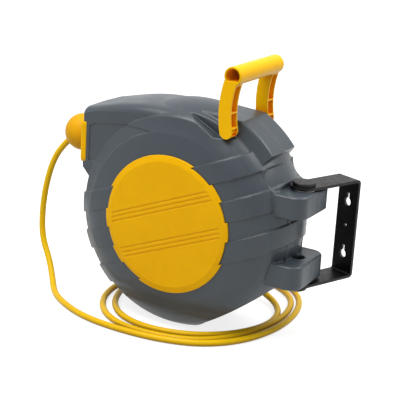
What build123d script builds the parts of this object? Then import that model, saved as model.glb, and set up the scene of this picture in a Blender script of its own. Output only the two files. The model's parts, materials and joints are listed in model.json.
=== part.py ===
"""Self-winding extension cord reel: housing, spring drum, outlet, carrying handle and wall bracket.

Millimetres.  The reel stands on a flat under its housing: z = 0 is that flat, the origin lies below
the drum axis, the drum axis runs along Y, the cable leaves toward -X and the wall bracket hangs on
the +X side.
"""
from build123d import *
from math import cos, pi, radians, sin, tan
import os

os.makedirs("parts", exist_ok=True)

# ---- driving dimensions --------------------------------------------------------------------------
AXIS_Z = 160.0          # drum axis above the floor; most heights below are counted from this axis
RUNNING = 0.05          # radial clearance of a turning fit

BODY_R = 168.0          # housing radius in the parting plane
CROWN = 5.1             # fall of the crowned rim halfway to the crest
CREST_R, CREST_Y = 150.0, 58.0
RING_R, RING_Y = 130.0, 70.0
RIM_R, RIM_Y = 100.0, 76.0
FLOOR_R, FLOOR_Y = 92.0, 67.0    # recessed wall behind each disc
WALL = 3.5

BAND_TILT = 22.0        # raised bands that wrap around the housing
BAND_WIDTH = 28.0
BAND_PITCH = 55.0
BAND_RISE = 2.5

# shallow curve that trims the lower rear of the housing, and the tighter one under it
BELLY_R = 800.0
BELLY_START, BELLY_END = (60.0, -140.2), (190.0, -40.0)
FOOT_R, FOOT_START = 112.0, (-70.9, -152.2)

NOSE_X, NOSE_LOW, NOSE_TOP = -158.0, 51.0, 140.0   # front face of the nose
CHIN = (-134.0, 24.0)              # rear end of the slope under the nose
HUMP_Y, CHEEK_DEEP = 56.0, 1.4

BLOCK_TOP, BLOCK_BASE = 36.0, 43.5                 # half widths of the raised block along the top rear
BLOCK_CORNER, BLOCK_TIP = (89.0, 155.6), (137.0, 115.5)
BASE_CORNER, BASE_TIP = (74.0, 132.6), (122.0, 97.0)      # the same corners in its two flanks
POCKET_Y = 44.2         # floor of the recesses beside the block, where the legs of the handle stand

LUG_END, LUG_HALF, LUG_ROOT, LUG_CORNER = 193.0, 47.0, 118.0, 19.0
TOP_LUG = (37.0, 68.0)
LOW_LUG = (-66.0, -31.0)
WEB_X, WEB_HALF = 165.0, 25.0
PIN_X, PIN_R, PIN_BOSS_R, CLIP_R = 171.0, 8.0, 14.0, 9.2
WELL_R, WELL_DEPTH = 9.75, 10.0   # open well over the lower pin
SADDLE_TOP = (130.5, 97.0)         # upper end of the hollow between the housing and the top lug
SEAT_DEPTH = 3.5                  # counterbore for the clip of the upper pin
ARM_ROOM_X, ARM_ROOM = 150.5, 14.0    # space for the bracket arms above and below the lugs

HANDLE_PIVOT = (78.0, 143.5)
HANDLE_GRIP = (83.5, 221.0)
HANDLE_HALF = 64.0
LEG_DEEP, LEG_WIDE = 19.0, 18.5   # leg size along Y and along X
GRIP_R, GRIP_BORE = 13.0, 10.5
PIVOT_R, PIVOT_HEAD = 3.0, 5.5            # handle pins: shaft and head
PIVOT_SEAT, PIVOT_REACH = 30.0, 30.0      # seat of the head and length of the shaft from there

SWIVEL = 68.0           # bracket angle from +X toward +Y as the reel stands
STRAP_WIDE, STRAP_THICK = 38.0, 4.0
BRACKET_REACH, BEND = 90.0, 2.5
ARM_TOP, ARM_LOW = 70.0, -68.0    # faces of the two arms toward the lugs
KEYHOLES = (37.0, -41.0)

DISC_R, DISC_FACE_R, DISC_Y = 99.5, 90.5, 80.5
CORD_R = 4.75

FLANGE_Y, FLANGE_R, FLANGE_THICK = 29.0, 136.0, 2.5   # inner faces of the drum flanges
HUB_R = 52.0
COIL_R = 112.0
AXLE_R, AXLE_BORE = 10.0, 6.5

SCREW_R, SCREW_HEAD = 2.5, 4.6            # long screws that join the two shells
SCREW_SEAT, SCREW_GRIP = 34.0, 22.0
BUSH_R = 12.5
CASE_R, CASE_Y = 84.0, 56.0               # spring case on the near flange
SLIP_R, SLIP_END = 26.0, 57.0
RATCHET_R = 88.0
PAWL_PIVOT, PAWL_Y, PAWL_PIN_R = (72.0, -85.0), 38.0, 3.0
GLAND_AT, GLAND_R, GLAND_SEAT = (94.0, -62.0), 8.0, 76.5    # inlet of the supply lead on the far side

BALL_X, BALL_Z, BALL_R = -196.5, 85.5, 28.0
GROOVE_AT, GROOVE_PITCH, GROOVE_WIDE = 26.5, 6.3, 2.6
BAND_RIM_R = 96.5

FLANGE_HALF, FLANGE_LOW, FLANGE_TOP, FLANGE_PLATE, COLLAR = 49.0, 55.0, 118.5, 4.5, 10.0
GUIDE_Z, ROLLER_BOX, ROLLER_R, ROLLER_OFF = 94.5, 32.0, 6.0, 12.2
BALL_SCREWS = ((8.0, 14.0), (4.0, -16.0))
LEAD_SLOPE, LEAD_LENGTH = 9.6, 179.0      # cable from the drum to the stop ball: slope and length

LEG_BOW, LEG_WALL, LEG_BACK = 5.5, 2.4, 3.2
CHANNEL, LEG_RIBS = (138.5, 207.0), (149.0, 170.0)
KEY_ROUND, KEY_SLOT, KEY_RISE = 6.0, 2.5, 11.5
MIDDLE_HOLE_Z, MIDDLE_HOLE_R = 2.2, 2.5

# route of the free cord, heights above the floor, from the stop ball round the foot to its socket
LYING = CORD_R
CORD_ROUTE = [
    (-220.3, 0, 230.7), (-244, 0, 215.8), (-260, -2, 187), (-269, -5, 144), (-272, -8, 96),
    (-268, -12, 56), (-255, -21, 24), (-234, -37, 8), (-206, -62, LYING), (-170, -88, LYING),
    (-120, -112, LYING), (-60, -126, LYING), (14, -126, LYING), (76, -102, LYING), (118, -54, LYING),
    (141, 8, LYING), (144, 76, LYING), (124, 140, LYING), (80, 186, LYING), (18, 206, LYING),
    (-48, 198, LYING), (-104, 162, LYING), (-138, 106, LYING), (-148, 40, LYING), (-140, -22, LYING),
    (-104, -76, LYING), (-48, -111, LYING), (16, -113, LYING), (72, -88, LYING), (110, -40, LYING),
    (128, 22, LYING), (127, 84, LYING), (106, 140, LYING), (62, 176, LYING), (4, 189, LYING),
    (-54, 179, LYING), (-104, 142, LYING), (-130, 88, LYING), (-133, 28, LYING), (-114, -34, LYING),
    (-70, -76, LYING), (-10, -88, LYING), (46, -78, LYING), (88, -42, LYING), (106, 12, LYING),
    (104, 64, LYING), (88, 103, 6), (63, 122, 12), (37, 127, 22), (10, 127, 22),
]
SOCKET_TIP = CORD_ROUTE[-1]
SOCKET_R, BOOT = 21.0, 26.0

DRUM_AXIS = Axis((0, 0, AXIS_Z), (0, 1, 0))
RADIAL = Plane(origin=(0, 0, AXIS_Z), x_dir=(0, 1, 0), z_dir=(1, 0, 0))


def side(y=0.0):
    """Plane across the drum axis at y: local x is +X, local y is height above the axis, the normal is -Y."""
    return Plane(origin=(0, y, AXIS_Z), x_dir=(1, 0, 0), z_dir=(0, -1, 0))


def level(z):
    """Horizontal plane at a height above the drum axis."""
    return Plane(origin=(0, 0, AXIS_Z + z), x_dir=(1, 0, 0), z_dir=(0, 0, 1))


def front(x):
    """Upright plane at x: local x is +Y, local y is height above the axis, the normal is +X."""
    return Plane(origin=(x, 0, AXIS_Z), x_dir=(0, 1, 0), z_dir=(1, 0, 0))


def polygon(plane, corners, rounding=0.0, rounded=()):
    """Closed outline in a plane; the corners whose indices are given in rounded get a fillet."""
    with BuildSketch(plane) as made:
        with BuildLine():
            Polyline(corners, close=True)
        make_face()
        if rounded:
            chosen = [min(made.vertices(), key=lambda v: (v.center() - plane.from_local_coords(
                Vector(*corners[i], 0))).length) for i in rounded]
            fillet(chosen, rounding)
    return made.sketch


def turned(corners):
    """Closed (y, radius) profile in the plane through the drum axis."""
    return polygon(RADIAL, corners)


def ring(plane, outer, inner=0.0, centre=(0.0, 0.0)):
    """Round face, or ring face when inner is given."""
    with BuildSketch(plane) as made:
        with Locations(centre):
            Circle(outer)
            if inner:
                Circle(inner, mode=Mode.SUBTRACT)
    return made.sketch


def polar(radius, angle):
    """Point (x, height) at a radius and an angle in degrees from +X toward up."""
    return radius * cos(radians(angle)), radius * sin(radians(angle))


def save(built, label):
    """Label a finished sub-part and write its STEP file."""
    built.part.label = label
    export_step(built.part, f"parts/{label}.step")


# ---- housing envelope ----------------------------------------------------------------------------
def body_section(rise):
    """Outer body section through the drum axis, pushed outward by rise."""
    crest = (CREST_Y + 0.6 * rise, CREST_R + 0.8 * rise)
    inner = (RING_Y + 0.9 * rise, RING_R + 0.4 * rise)
    rim = (RIM_Y + 0.6 * rise, BAND_RIM_R if rise else RIM_R)
    mid = (0.55 * CREST_Y, BODY_R - CROWN + rise)
    with BuildSketch(RADIAL) as made:
        with BuildLine():
            Polyline((-crest[0], crest[1]), (-inner[0], inner[1]), (-rim[0], rim[1]), (-rim[0], 0),
                     (rim[0], 0), rim, inner, crest)
            ThreePointArc(crest, mid, (0, BODY_R + rise))
            ThreePointArc((0, BODY_R + rise), (-mid[0], mid[1]), (-crest[0], crest[1]))
        make_face()
        edges = [v for v in made.vertices() if abs(v.Y) > 1 and v.Z > AXIS_Z + RIM_R + 5]
        fillet(edges, 5)
    return made.sketch


def band_gaps():
    """Slabs between and outside the three raised bands."""
    tilt = radians(BAND_TILT)
    plane = Plane(origin=(0, 100, AXIS_Z), x_dir=(cos(tilt), 0, sin(tilt)), z_dir=(0, -1, 0))
    with BuildSketch(plane) as made:
        with Locations((0, BAND_PITCH / 2), (0, -BAND_PITCH / 2)):
            Rectangle(500, BAND_PITCH - BAND_WIDTH)
        with Locations((0, BAND_PITCH + BAND_WIDTH / 2 + 100), (0, -BAND_PITCH - BAND_WIDTH / 2 - 100)):
            Rectangle(500, 200)
    return made.sketch


def belly_outline(inset=0.0):
    """Side view of the space above the belly curves, moved inward by inset."""
    with BuildSketch(side(100)) as made:
        with BuildLine():
            Polyline((BELLY_END[0], BELLY_END[1]), (300, BELLY_END[1]), (300, 300), (-300, 300),
                     (-300, FOOT_START[1]), FOOT_START)
            RadiusArc(FOOT_START, BELLY_START, -FOOT_R)
            RadiusArc(BELLY_START, BELLY_END, -BELLY_R)
        make_face()
        if inset:
            offset(amount=-inset, kind=Kind.INTERSECTION)
    return made.sketch


with BuildPart() as bands:
    revolve(body_section(BAND_RISE), axis=DRUM_AXIS)
    extrude(band_gaps(), amount=200, mode=Mode.SUBTRACT)


def hump_section(x, low, top, drop, inset):
    """Upright section of the hump at x: straight flanks, crowned top that falls by drop at the sides."""
    half = HUMP_Y - inset
    crown = [(-1.0, 1.0), (-0.9, 0.38), (-0.6, 0.08), (0.0, 0.0), (0.6, 0.08), (0.9, 0.38), (1.0, 1.0)]
    with BuildSketch(front(x)) as made:
        with BuildLine():
            Spline([(half * across, top - inset - drop * fall) for across, fall in crown])
            Polyline((half, top - inset - drop), (half, low), (-half, low), (-half, top - inset - drop))
        make_face()
    return made.sketch


def hump_solid(inset):
    """Lofted hump from the nose to the top of the drum housing."""
    stations = [(NOSE_X + inset, NOSE_LOW, NOSE_TOP, 9), (-138, 28, 144.5, 7.5), (-105, 28, 152.6, 10.7),
                (-50, 60, 159.4, 14.3), (0, 80, 163, 20)]
    with BuildPart() as made:
        loft([hump_section(x, low, top, drop, inset) for x, low, top, drop in stations])
    return made.part


def under_nose(inset):
    """Side view of what is cut away below the slope under the nose."""
    return polygon(side(100), [(-200, 0), (NOSE_X, NOSE_LOW + inset), (CHIN[0], CHIN[1] + inset),
                               (-60, CHIN[1] + inset), (-60, 0)])


with BuildPart() as hump:
    add(hump_solid(0))
    extrude(under_nose(0), amount=200, mode=Mode.SUBTRACT)


def block_section(y, corner, tip, front_top, heel, corner_r, tip_r):
    """Side outline of the block at y: a level top, a bulged rear slope and an end that tucks under."""
    with BuildSketch(side(y)) as made:
        with BuildLine():
            Polyline(corner, front_top, (front_top[0], 110), (60, 80), heel, tip)
            ThreePointArc(tip, ((corner[0] + tip[0]) / 2 + 2, (corner[1] + tip[1]) / 2 + 2.2), corner)
        make_face()
        for (x, z), radius in ((corner, corner_r), (tip, tip_r)):
            place = Vector(x, y, AXIS_Z + z)
            fillet(min(made.vertices(), key=lambda v: (v.center() - place).length), radius)
    return made.sketch


with BuildPart() as block:
    full = (BLOCK_CORNER, BLOCK_TIP, (25, 160.5), (118, 90), 14, 5)
    base = (BASE_CORNER, BASE_TIP, (25, 138), (110, 82), 10, 3)
    loft([block_section(-BLOCK_BASE, *base), block_section(-BLOCK_TOP, *full),
          block_section(BLOCK_TOP, *full), block_section(BLOCK_BASE, *base)], ruled=True)
    ridges = [e for e in block.edges() if abs(abs(e.center().Y) - BLOCK_TOP) < 0.01 and e.center().X > 60
              and e.center().Z > AXIS_Z + BLOCK_TIP[1] - 1]
    fillet(ridges, 5)

with BuildPart() as lugs:
    for low, high in (TOP_LUG, LOW_LUG):
        with BuildSketch(level(low)) as plan:
            with Locations(((LUG_ROOT + LUG_END) / 2, 0)):
                Rectangle(LUG_END - LUG_ROOT, 2 * LUG_HALF)
            fillet([v for v in plan.vertices() if v.X > LUG_END - 1], LUG_CORNER)
        extrude(amount=high - low)
    rims = [e for e in lugs.edges() if e.center().X > LUG_ROOT + 1
            and min(abs(e.center().Z - AXIS_Z - z) for z in (TOP_LUG[1], *LOW_LUG)) < 0.01]
    fillet(rims, 4)
    with Locations((WEB_X / 2 + LUG_ROOT / 2, 0, AXIS_Z + (TOP_LUG[0] + LOW_LUG[1]) / 2)):
        Box(WEB_X - LUG_ROOT, 2 * WEB_HALF, TOP_LUG[0] - LOW_LUG[1])
    with BuildSketch(side(LUG_HALF - 1)):
        with BuildLine():
            Polyline((SADDLE_TOP[0], SADDLE_TOP[1]), (100, SADDLE_TOP[1]), (100, 60), (ARM_ROOM_X, 60),
                     (ARM_ROOM_X, TOP_LUG[1]))
            ThreePointArc((ARM_ROOM_X, TOP_LUG[1]), (137, 77.5), SADDLE_TOP)
        make_face()
    extrude(amount=2 * LUG_HALF - 2)

with BuildPart() as envelope:
    revolve(body_section(0), axis=DRUM_AXIS)
    extrude(belly_outline(), amount=200, mode=Mode.INTERSECT)
    add(bands.part)
    add(hump.part)
    add(block.part)
    add(lugs.part)


def both_sides(plane_y, sketch_at, depth, mode):
    """Extrude a sketch made by sketch_at(y) outward by depth from -plane_y and, mirrored, from +plane_y."""
    extrude(sketch_at(-plane_y), amount=depth, mode=mode)
    extrude(sketch_at(plane_y), amount=-depth, mode=mode)


def cheek(y, grow=0.0):
    """Outline of the shallow panel on the flank of the nose, bounded by the housing's round ring."""
    with BuildSketch(side(y)) as made:
        with BuildLine():
            Polyline((-24, 125.5), (-24, 60), (-148, 62), (-148, 113))
            Line((-148, 113), (-140, 119))
            ThreePointArc((-140, 119), (-85, 125.6), (-24, 125.5))
        make_face()
        if grow:
            offset(amount=grow, kind=Kind.INTERSECTION)
        Circle(RING_R + 1 - grow, mode=Mode.SUBTRACT)
    return made.sketch


def leg_pocket(y, wall=0.0):
    """Recess in the shoulder where a handle leg stands and folds, grown by wall all round."""
    with BuildSketch(side(y)) as made:
        with BuildLine():
            Polyline([(6, 160), (58, 132.5), (97, 132.5), (110, 150), (110, 180), (6, 180)], close=True)
        make_face()
        if wall:
            offset(amount=wall, kind=Kind.INTERSECTION)
    return made.sketch


SCREWS = [polar(149, angle) for angle in (18, 62, 108, 158, 196, 241, 280, 333)]
ARM_ROOMS = [TOP_LUG[1] + ARM_ROOM / 2, LOW_LUG[0] - ARM_ROOM / 2]

with BuildPart() as hump_inside:
    add(hump_solid(WALL))
    extrude(under_nose(WALL), amount=200, mode=Mode.SUBTRACT)

with BuildPart() as cavity:
    revolve(turned([
        (-FLOOR_Y + WALL, 0), (-FLOOR_Y + WALL, FLOOR_R + WALL), (-RIM_Y + WALL, FLOOR_R + WALL),
        (-RIM_Y + WALL, RIM_R), (-RING_Y + WALL, RING_R - 2.5), (-CREST_Y + 2.5, CREST_R - 3.2),
        (-43, 154.5), (-22, 161.8), (0, BODY_R - WALL), (22, 161.8), (43, 154.5),
        (CREST_Y - 2.5, CREST_R - 3.2), (RING_Y - WALL, RING_R - 2.5), (RIM_Y - WALL, RIM_R),
        (RIM_Y - WALL, FLOOR_R + WALL), (FLOOR_Y - WALL, FLOOR_R + WALL), (FLOOR_Y - WALL, 0)]),
        axis=DRUM_AXIS)
    extrude(belly_outline(WALL), amount=200, mode=Mode.INTERSECT)
    add(hump_inside.part)
    both_sides(HUMP_Y - CHEEK_DEEP - WALL, lambda y: cheek(y, WALL), 20, Mode.SUBTRACT)
    both_sides(POCKET_Y - WALL, lambda y: leg_pocket(y, WALL), 30, Mode.SUBTRACT)
    with Locations((0, 0, -5 + WALL)):
        Box(400, 200, 10, mode=Mode.SUBTRACT)
    for low, high in (TOP_LUG, LOW_LUG):
        with BuildSketch(level(low + WALL)) as hollow:
            with Locations(((LUG_ROOT + LUG_END) / 2 - 5, 0)):
                Rectangle(LUG_END - LUG_ROOT - 5, 2 * (LUG_HALF - WALL))
            fillet([v for v in hollow.vertices() if v.X > LUG_END - 10], LUG_CORNER - WALL)
        extrude(amount=high - low - 2 * WALL)
        extrude(ring(level(low), PIN_BOSS_R, centre=(PIN_X, 0)), amount=high - low, mode=Mode.SUBTRACT)
    for z in ARM_ROOMS:
        with Locations((ARM_ROOM_X - WALL + 50, 0, AXIS_Z + z)):
            Box(100, 200, ARM_ROOM + 2 * WALL, mode=Mode.SUBTRACT)
    for x, z in SCREWS:
        extrude(ring(side(60), 6.5, centre=(x, z)), amount=120, mode=Mode.SUBTRACT)
    extrude(ring(side(-FLOOR_Y + WALL + 5), 17), amount=5, mode=Mode.SUBTRACT)
    extrude(ring(side(FLOOR_Y - WALL), 17), amount=5, mode=Mode.SUBTRACT)

# what stays under the shallow panels on the flanks of the nose
with BuildPart() as cheek_floor:
    revolve(body_section(-CHEEK_DEEP), axis=DRUM_AXIS)
    Box(500, 2 * (HUMP_Y - CHEEK_DEEP), 800)

with BuildPart() as cheeks:
    both_sides(HUMP_Y - CHEEK_DEEP - 10, cheek, 40, Mode.ADD)
    add(cheek_floor.part, mode=Mode.SUBTRACT)

with BuildPart() as housing:
    add(envelope.part)
    with Locations((0, 0, -10)):
        Box(600, 300, 20, mode=Mode.SUBTRACT)
    both_sides(FLOOR_Y, lambda y: ring(side(y), FLOOR_R), 20, Mode.SUBTRACT)
    both_sides(RIM_Y, lambda y: ring(side(y), BAND_RIM_R), 20, Mode.SUBTRACT)
    add(cheeks.part, mode=Mode.SUBTRACT)
    both_sides(POCKET_Y, leg_pocket, 40, Mode.SUBTRACT)
    add(cavity.part, mode=Mode.SUBTRACT)
    # cable outlet and the flat on which its flange sits
    with Locations((NOSE_X, 0, AXIS_Z + GUIDE_Z)):
        Box(20, 60, 44, mode=Mode.SUBTRACT)
    with Locations((NOSE_X - 10, 0, AXIS_Z + (FLANGE_LOW + FLANGE_TOP) / 2)):
        Box(20, 2 * FLANGE_HALF + 1, FLANGE_TOP - FLANGE_LOW + 1, mode=Mode.SUBTRACT)
    # room for the bracket arms, above the upper lug and below the lower one
    for z in ARM_ROOMS:
        with Locations((ARM_ROOM_X + 50, 0, AXIS_Z + z)):
            Box(100, 200, ARM_ROOM, mode=Mode.SUBTRACT)
    # pin bores, the wells of their clips and the shallow joint line round the lower one
    for low, high in (TOP_LUG, LOW_LUG):
        extrude(ring(level(low), PIN_R + RUNNING, centre=(PIN_X, 0)), amount=high - low, mode=Mode.SUBTRACT)
    extrude(ring(level(LOW_LUG[1]), WELL_R, centre=(PIN_X, 0)), amount=-WELL_DEPTH, mode=Mode.SUBTRACT)
    extrude(ring(level(TOP_LUG[0]), WELL_R, centre=(PIN_X, 0)), amount=SEAT_DEPTH, mode=Mode.SUBTRACT)
    with BuildSketch(level(LOW_LUG[1])):
        for y in (-38, 38):
            with Locations((172.5, y)):
                Rectangle(38, 0.9)
        with Locations((191.5, 0)):
            Rectangle(0.9, 76.9)
    extrude(amount=-0.8, mode=Mode.SUBTRACT)
    # handle pivots: a boss and a bore on each side, reached from the parting plane
    for way in (-1, 1):
        extrude(ring(side(way * PIVOT_SEAT), 7.5, centre=HANDLE_PIVOT),
                amount=-way * (POCKET_Y + 0.6 - PIVOT_SEAT))
        extrude(ring(side(way * PIVOT_SEAT), PIVOT_R, centre=HANDLE_PIVOT), amount=-way * 20,
                mode=Mode.SUBTRACT)
    extrude(ring(side(PIVOT_SEAT), PIVOT_HEAD + 0.6, centre=HANDLE_PIVOT), amount=2 * PIVOT_SEAT,
            mode=Mode.SUBTRACT)

with BuildPart() as near_shell:
    add(housing.part)
    split(bisect_by=Plane.XZ, keep=Keep.TOP)
    for x, z in SCREWS:
        extrude(ring(side(0), SCREW_R, centre=(x, z)), amount=SCREW_GRIP, mode=Mode.SUBTRACT)
    extrude(ring(side(-FLOOR_Y + WALL + 5), AXLE_R), amount=4, mode=Mode.SUBTRACT)
save(near_shell, "near_shell")

with BuildPart() as far_shell:
    add(housing.part)
    split(bisect_by=Plane.XZ, keep=Keep.BOTTOM)
    for x, z in SCREWS:
        extrude(ring(side(0), SCREW_R, centre=(x, z)), amount=-80, mode=Mode.SUBTRACT)
        extrude(ring(side(SCREW_SEAT), SCREW_HEAD + 0.6, centre=(x, z)), amount=-40, mode=Mode.SUBTRACT)
    extrude(ring(side(FLOOR_Y - WALL - 5), AXLE_R), amount=-4, mode=Mode.SUBTRACT)
    extrude(ring(side(PAWL_Y + 3), 6, centre=PAWL_PIVOT), amount=PAWL_Y + 2 - RING_Y)
    extrude(ring(side(RING_Y - 2), GLAND_R + 5, centre=GLAND_AT), amount=-GLAND_SEAT + RING_Y - 2)
    extrude(ring(side(PAWL_Y - 4), PAWL_PIN_R, centre=PAWL_PIVOT), amount=-12, mode=Mode.SUBTRACT)
    extrude(ring(side(50), GLAND_R, centre=GLAND_AT), amount=-40, mode=Mode.SUBTRACT)
save(far_shell, "far_shell")

with BuildPart() as shell_screws:
    for x, z in SCREWS:
        extrude(ring(side(SCREW_SEAT), SCREW_R, centre=(x, z)), amount=SCREW_SEAT + SCREW_GRIP - 3)
        extrude(ring(side(SCREW_SEAT), SCREW_HEAD, centre=(x, z)), amount=-3.2)
save(shell_screws, "shell_screws")


# ---- disc covers ---------------------------------------------------------------------------------
def disc_cover(way):
    """Cover on one side of the housing; way is -1 for the near side and 1 for the far side."""
    with BuildPart() as made:
        skirt = FLOOR_R - 0.4
        profile = [(DISC_Y, 0), (DISC_Y, DISC_FACE_R), (RIM_Y + 2.2, DISC_R), (RIM_Y, DISC_R),
                   (RIM_Y, skirt), (FLOOR_Y, skirt), (FLOOR_Y, skirt - 2.4), (DISC_Y - 2.4, skirt - 2.4),
                   (DISC_Y - 2.4, 0)]
        revolve(turned([(way * y, r) for y, r in profile]), axis=DRUM_AXIS)
        tilt = radians(BAND_TILT)
        face = Plane(origin=(0, way * (DISC_Y + 0.01), AXIS_Z), x_dir=(cos(tilt), 0, sin(tilt)),
                     z_dir=(0, -1, 0))
        with BuildSketch(face) as notches:
            with GridLocations(1, BAND_PITCH, 1, 3):
                Rectangle(400, BAND_WIDTH + 1)
            Circle(BAND_RIM_R - 0.5, mode=Mode.SUBTRACT)
        extrude(notches.sketch, amount=way * 10, mode=Mode.SUBTRACT)
        with BuildSketch(face) as grooves:
            for centre in (-GROOVE_AT, GROOVE_AT):
                with Locations((0, centre)):
                    with GridLocations(1, GROOVE_PITCH, 1, 3):
                        Rectangle(400, GROOVE_WIDE)
            Circle(DISC_FACE_R - 3, mode=Mode.INTERSECT)
        extrude(grooves.sketch, amount=way * 0.9, mode=Mode.SUBTRACT)
    return made


near_disc = disc_cover(-1)
save(near_disc, "near_disc")
far_disc = disc_cover(1)
save(far_disc, "far_disc")


# ---- drum, axle and spring -----------------------------------------------------------------------
with BuildPart() as axle:
    extrude(ring(side(FLOOR_Y - WALL - 1), AXLE_R, AXLE_BORE), amount=2 * (FLOOR_Y - WALL - 1))
save(axle, "axle")

DRUM_END = FLANGE_Y + FLANGE_THICK

for name, y in (("near_bush", -DRUM_END), ("far_bush", DRUM_END - 14)):
    with BuildPart() as bush:
        extrude(ring(side(y + 14), BUSH_R, AXLE_R + RUNNING), amount=14)
    save(bush, name)

with BuildPart() as drum:
    lip_y, lip_r = FLANGE_Y - 1, FLANGE_R - 3
    revolve(turned([(-DRUM_END, HUB_R - 3), (-DRUM_END, FLANGE_R), (-lip_y, FLANGE_R), (-lip_y, lip_r),
                    (-FLANGE_Y, lip_r), (-FLANGE_Y, HUB_R), (FLANGE_Y, HUB_R), (FLANGE_Y, lip_r),
                    (lip_y, lip_r), (lip_y, FLANGE_R), (DRUM_END, FLANGE_R), (DRUM_END, HUB_R - 3)]),
            axis=DRUM_AXIS)
    extrude(ring(side(DRUM_END), BUSH_R + 4, BUSH_R), amount=2 * DRUM_END)
    extrude(ring(side(1.5), HUB_R - 1, BUSH_R + 2), amount=3)
    extrude(ring(side(DRUM_END), HUB_R, BUSH_R), amount=2)
    extrude(ring(side(-DRUM_END + 2), HUB_R, BUSH_R), amount=2)
save(drum, "drum")

with BuildPart() as wound_cable:
    step = 2 * FLANGE_Y / 6
    valley = COIL_R - step / 2
    with BuildSketch(RADIAL) as wound:
        with BuildLine():
            Polyline((-FLANGE_Y, valley), (-FLANGE_Y, HUB_R), (FLANGE_Y, HUB_R), (FLANGE_Y, valley))
            for turn in range(6):
                start = FLANGE_Y - turn * step
                ThreePointArc((start, valley), (start - step / 2, COIL_R), (start - step, valley))
        make_face()
    revolve(wound.sketch, axis=DRUM_AXIS)
save(wound_cable, "wound_cable")

with BuildPart() as spring_case:
    revolve(turned([(-DRUM_END, CASE_R), (-CASE_Y, CASE_R), (-CASE_Y, BUSH_R + 6), (-CASE_Y + 2, BUSH_R + 6),
                    (-CASE_Y + 2, CASE_R - 2), (-DRUM_END, CASE_R - 2)]), axis=DRUM_AXIS)
save(spring_case, "spring_case")

with BuildPart() as main_spring:
    turns, per_turn = 6, 16
    inner, outer = BUSH_R + 6.0, CASE_R - 3.6
    path = [polar(inner + (outer - inner) * k / (turns * per_turn), 360 * k / per_turn)
            for k in range(turns * per_turn + 1)]
    back = [polar(inner + 1.4 + (outer - inner) * k / (turns * per_turn), 360 * k / per_turn)
            for k in range(turns * per_turn, -1, -1)]
    extrude(polygon(side(-DRUM_END - 1.5), path + back), amount=CASE_Y - DRUM_END - 5)
save(main_spring, "main_spring")

# ---- slip rings and brushes ----------------------------------------------------------------------
with BuildPart() as ring_carrier:
    extrude(ring(side(SLIP_END), SLIP_R - 2, BUSH_R + 1), amount=SLIP_END - DRUM_END)
save(ring_carrier, "ring_carrier")

SLIP_PLACES = [DRUM_END + 5 + 7 * k for k in range(3)]

for name, y in zip(("slip_ring_line", "slip_ring_neutral", "slip_ring_earth"), SLIP_PLACES):
    with BuildPart() as slip:
        extrude(ring(side(y), SLIP_R, SLIP_R - 2), amount=4)
    save(slip, name)

with BuildPart() as brush_holder:
    with Locations((SLIP_R + 16, (DRUM_END + 1 + FLOOR_Y - WALL) / 2, AXIS_Z)):
        Box(14, FLOOR_Y - WALL - DRUM_END - 1, 16)
    for y in SLIP_PLACES:
        with Locations((SLIP_R + 10, y - 2, AXIS_Z)):
            Box(16, 4, 6, mode=Mode.SUBTRACT)
save(brush_holder, "brush_holder")

for name, y in zip(("brush_line", "brush_neutral", "brush_earth"), SLIP_PLACES):
    with BuildPart() as brush:
        with Locations((SLIP_R + 0.3 + 7.5, y - 2, AXIS_Z)):
            Box(15, 3.8, 5.8)
    save(brush, name)

# ---- ratchet -------------------------------------------------------------------------------------
with BuildPart() as ratchet_wheel:
    with BuildSketch(side(DRUM_END + 5)) as teeth:
        Circle(RATCHET_R)
        Circle(RATCHET_R - 18, mode=Mode.SUBTRACT)
    extrude(teeth.sketch, amount=5)
    for k in range(8):
        a = 45 * k
        notch = [polar(RATCHET_R + 4, a), polar(RATCHET_R - 8, a), polar(RATCHET_R - 7, a + 8),
                 polar(RATCHET_R + 4, a + 20)]
        extrude(polygon(side(DRUM_END + 6), notch), amount=7, mode=Mode.SUBTRACT)
save(ratchet_wheel, "ratchet_wheel")


with BuildPart() as pawl:
    x, z = PAWL_PIVOT
    tip = polar(RATCHET_R + 1.5, -38)
    arm = [(x - 5, z - 4), (x + 5, z - 3), (tip[0] + 3, tip[1] - 1), tip, (x - 1, z + 7)]
    extrude(polygon(side(PAWL_Y), arm), amount=5)
    extrude(ring(side(PAWL_Y), 7, centre=PAWL_PIVOT), amount=5)
    extrude(ring(side(PAWL_Y + 1), PAWL_PIN_R + RUNNING, centre=PAWL_PIVOT), amount=7, mode=Mode.SUBTRACT)
save(pawl, "pawl")

with BuildPart() as pawl_pin:
    extrude(ring(side(PAWL_Y + 8), PAWL_PIN_R, centre=PAWL_PIVOT), amount=14)
    extrude(ring(side(PAWL_Y - 5.3), PAWL_PIN_R + 2, centre=PAWL_PIVOT), amount=0.7)
save(pawl_pin, "pawl_pin")

# ---- cable outlet --------------------------------------------------------------------------------
with BuildPart() as outlet_flange:
    with BuildSketch(front(NOSE_X)) as plate:
        with Locations((0, (FLANGE_LOW + FLANGE_TOP) / 2)):
            RectangleRounded(2 * FLANGE_HALF, FLANGE_TOP - FLANGE_LOW, 10)
    extrude(plate.sketch, amount=-FLANGE_PLATE)
    fillet(outlet_flange.edges().group_by(Axis.X)[0], 1.2)
    extrude(ring(front(NOSE_X - FLANGE_PLATE), 22, centre=(0, BALL_Z + 2)), amount=-COLLAR)
    fillet(outlet_flange.edges().group_by(Axis.X)[0], 1.5)
    extrude(ring(front(NOSE_X + 1), 14, centre=(0, BALL_Z + 2)), amount=-40, mode=Mode.SUBTRACT)
    with Locations((BALL_X, 0, AXIS_Z + BALL_Z)):
        Sphere(BALL_R + 0.2, mode=Mode.SUBTRACT)
save(outlet_flange, "outlet_flange")

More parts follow.
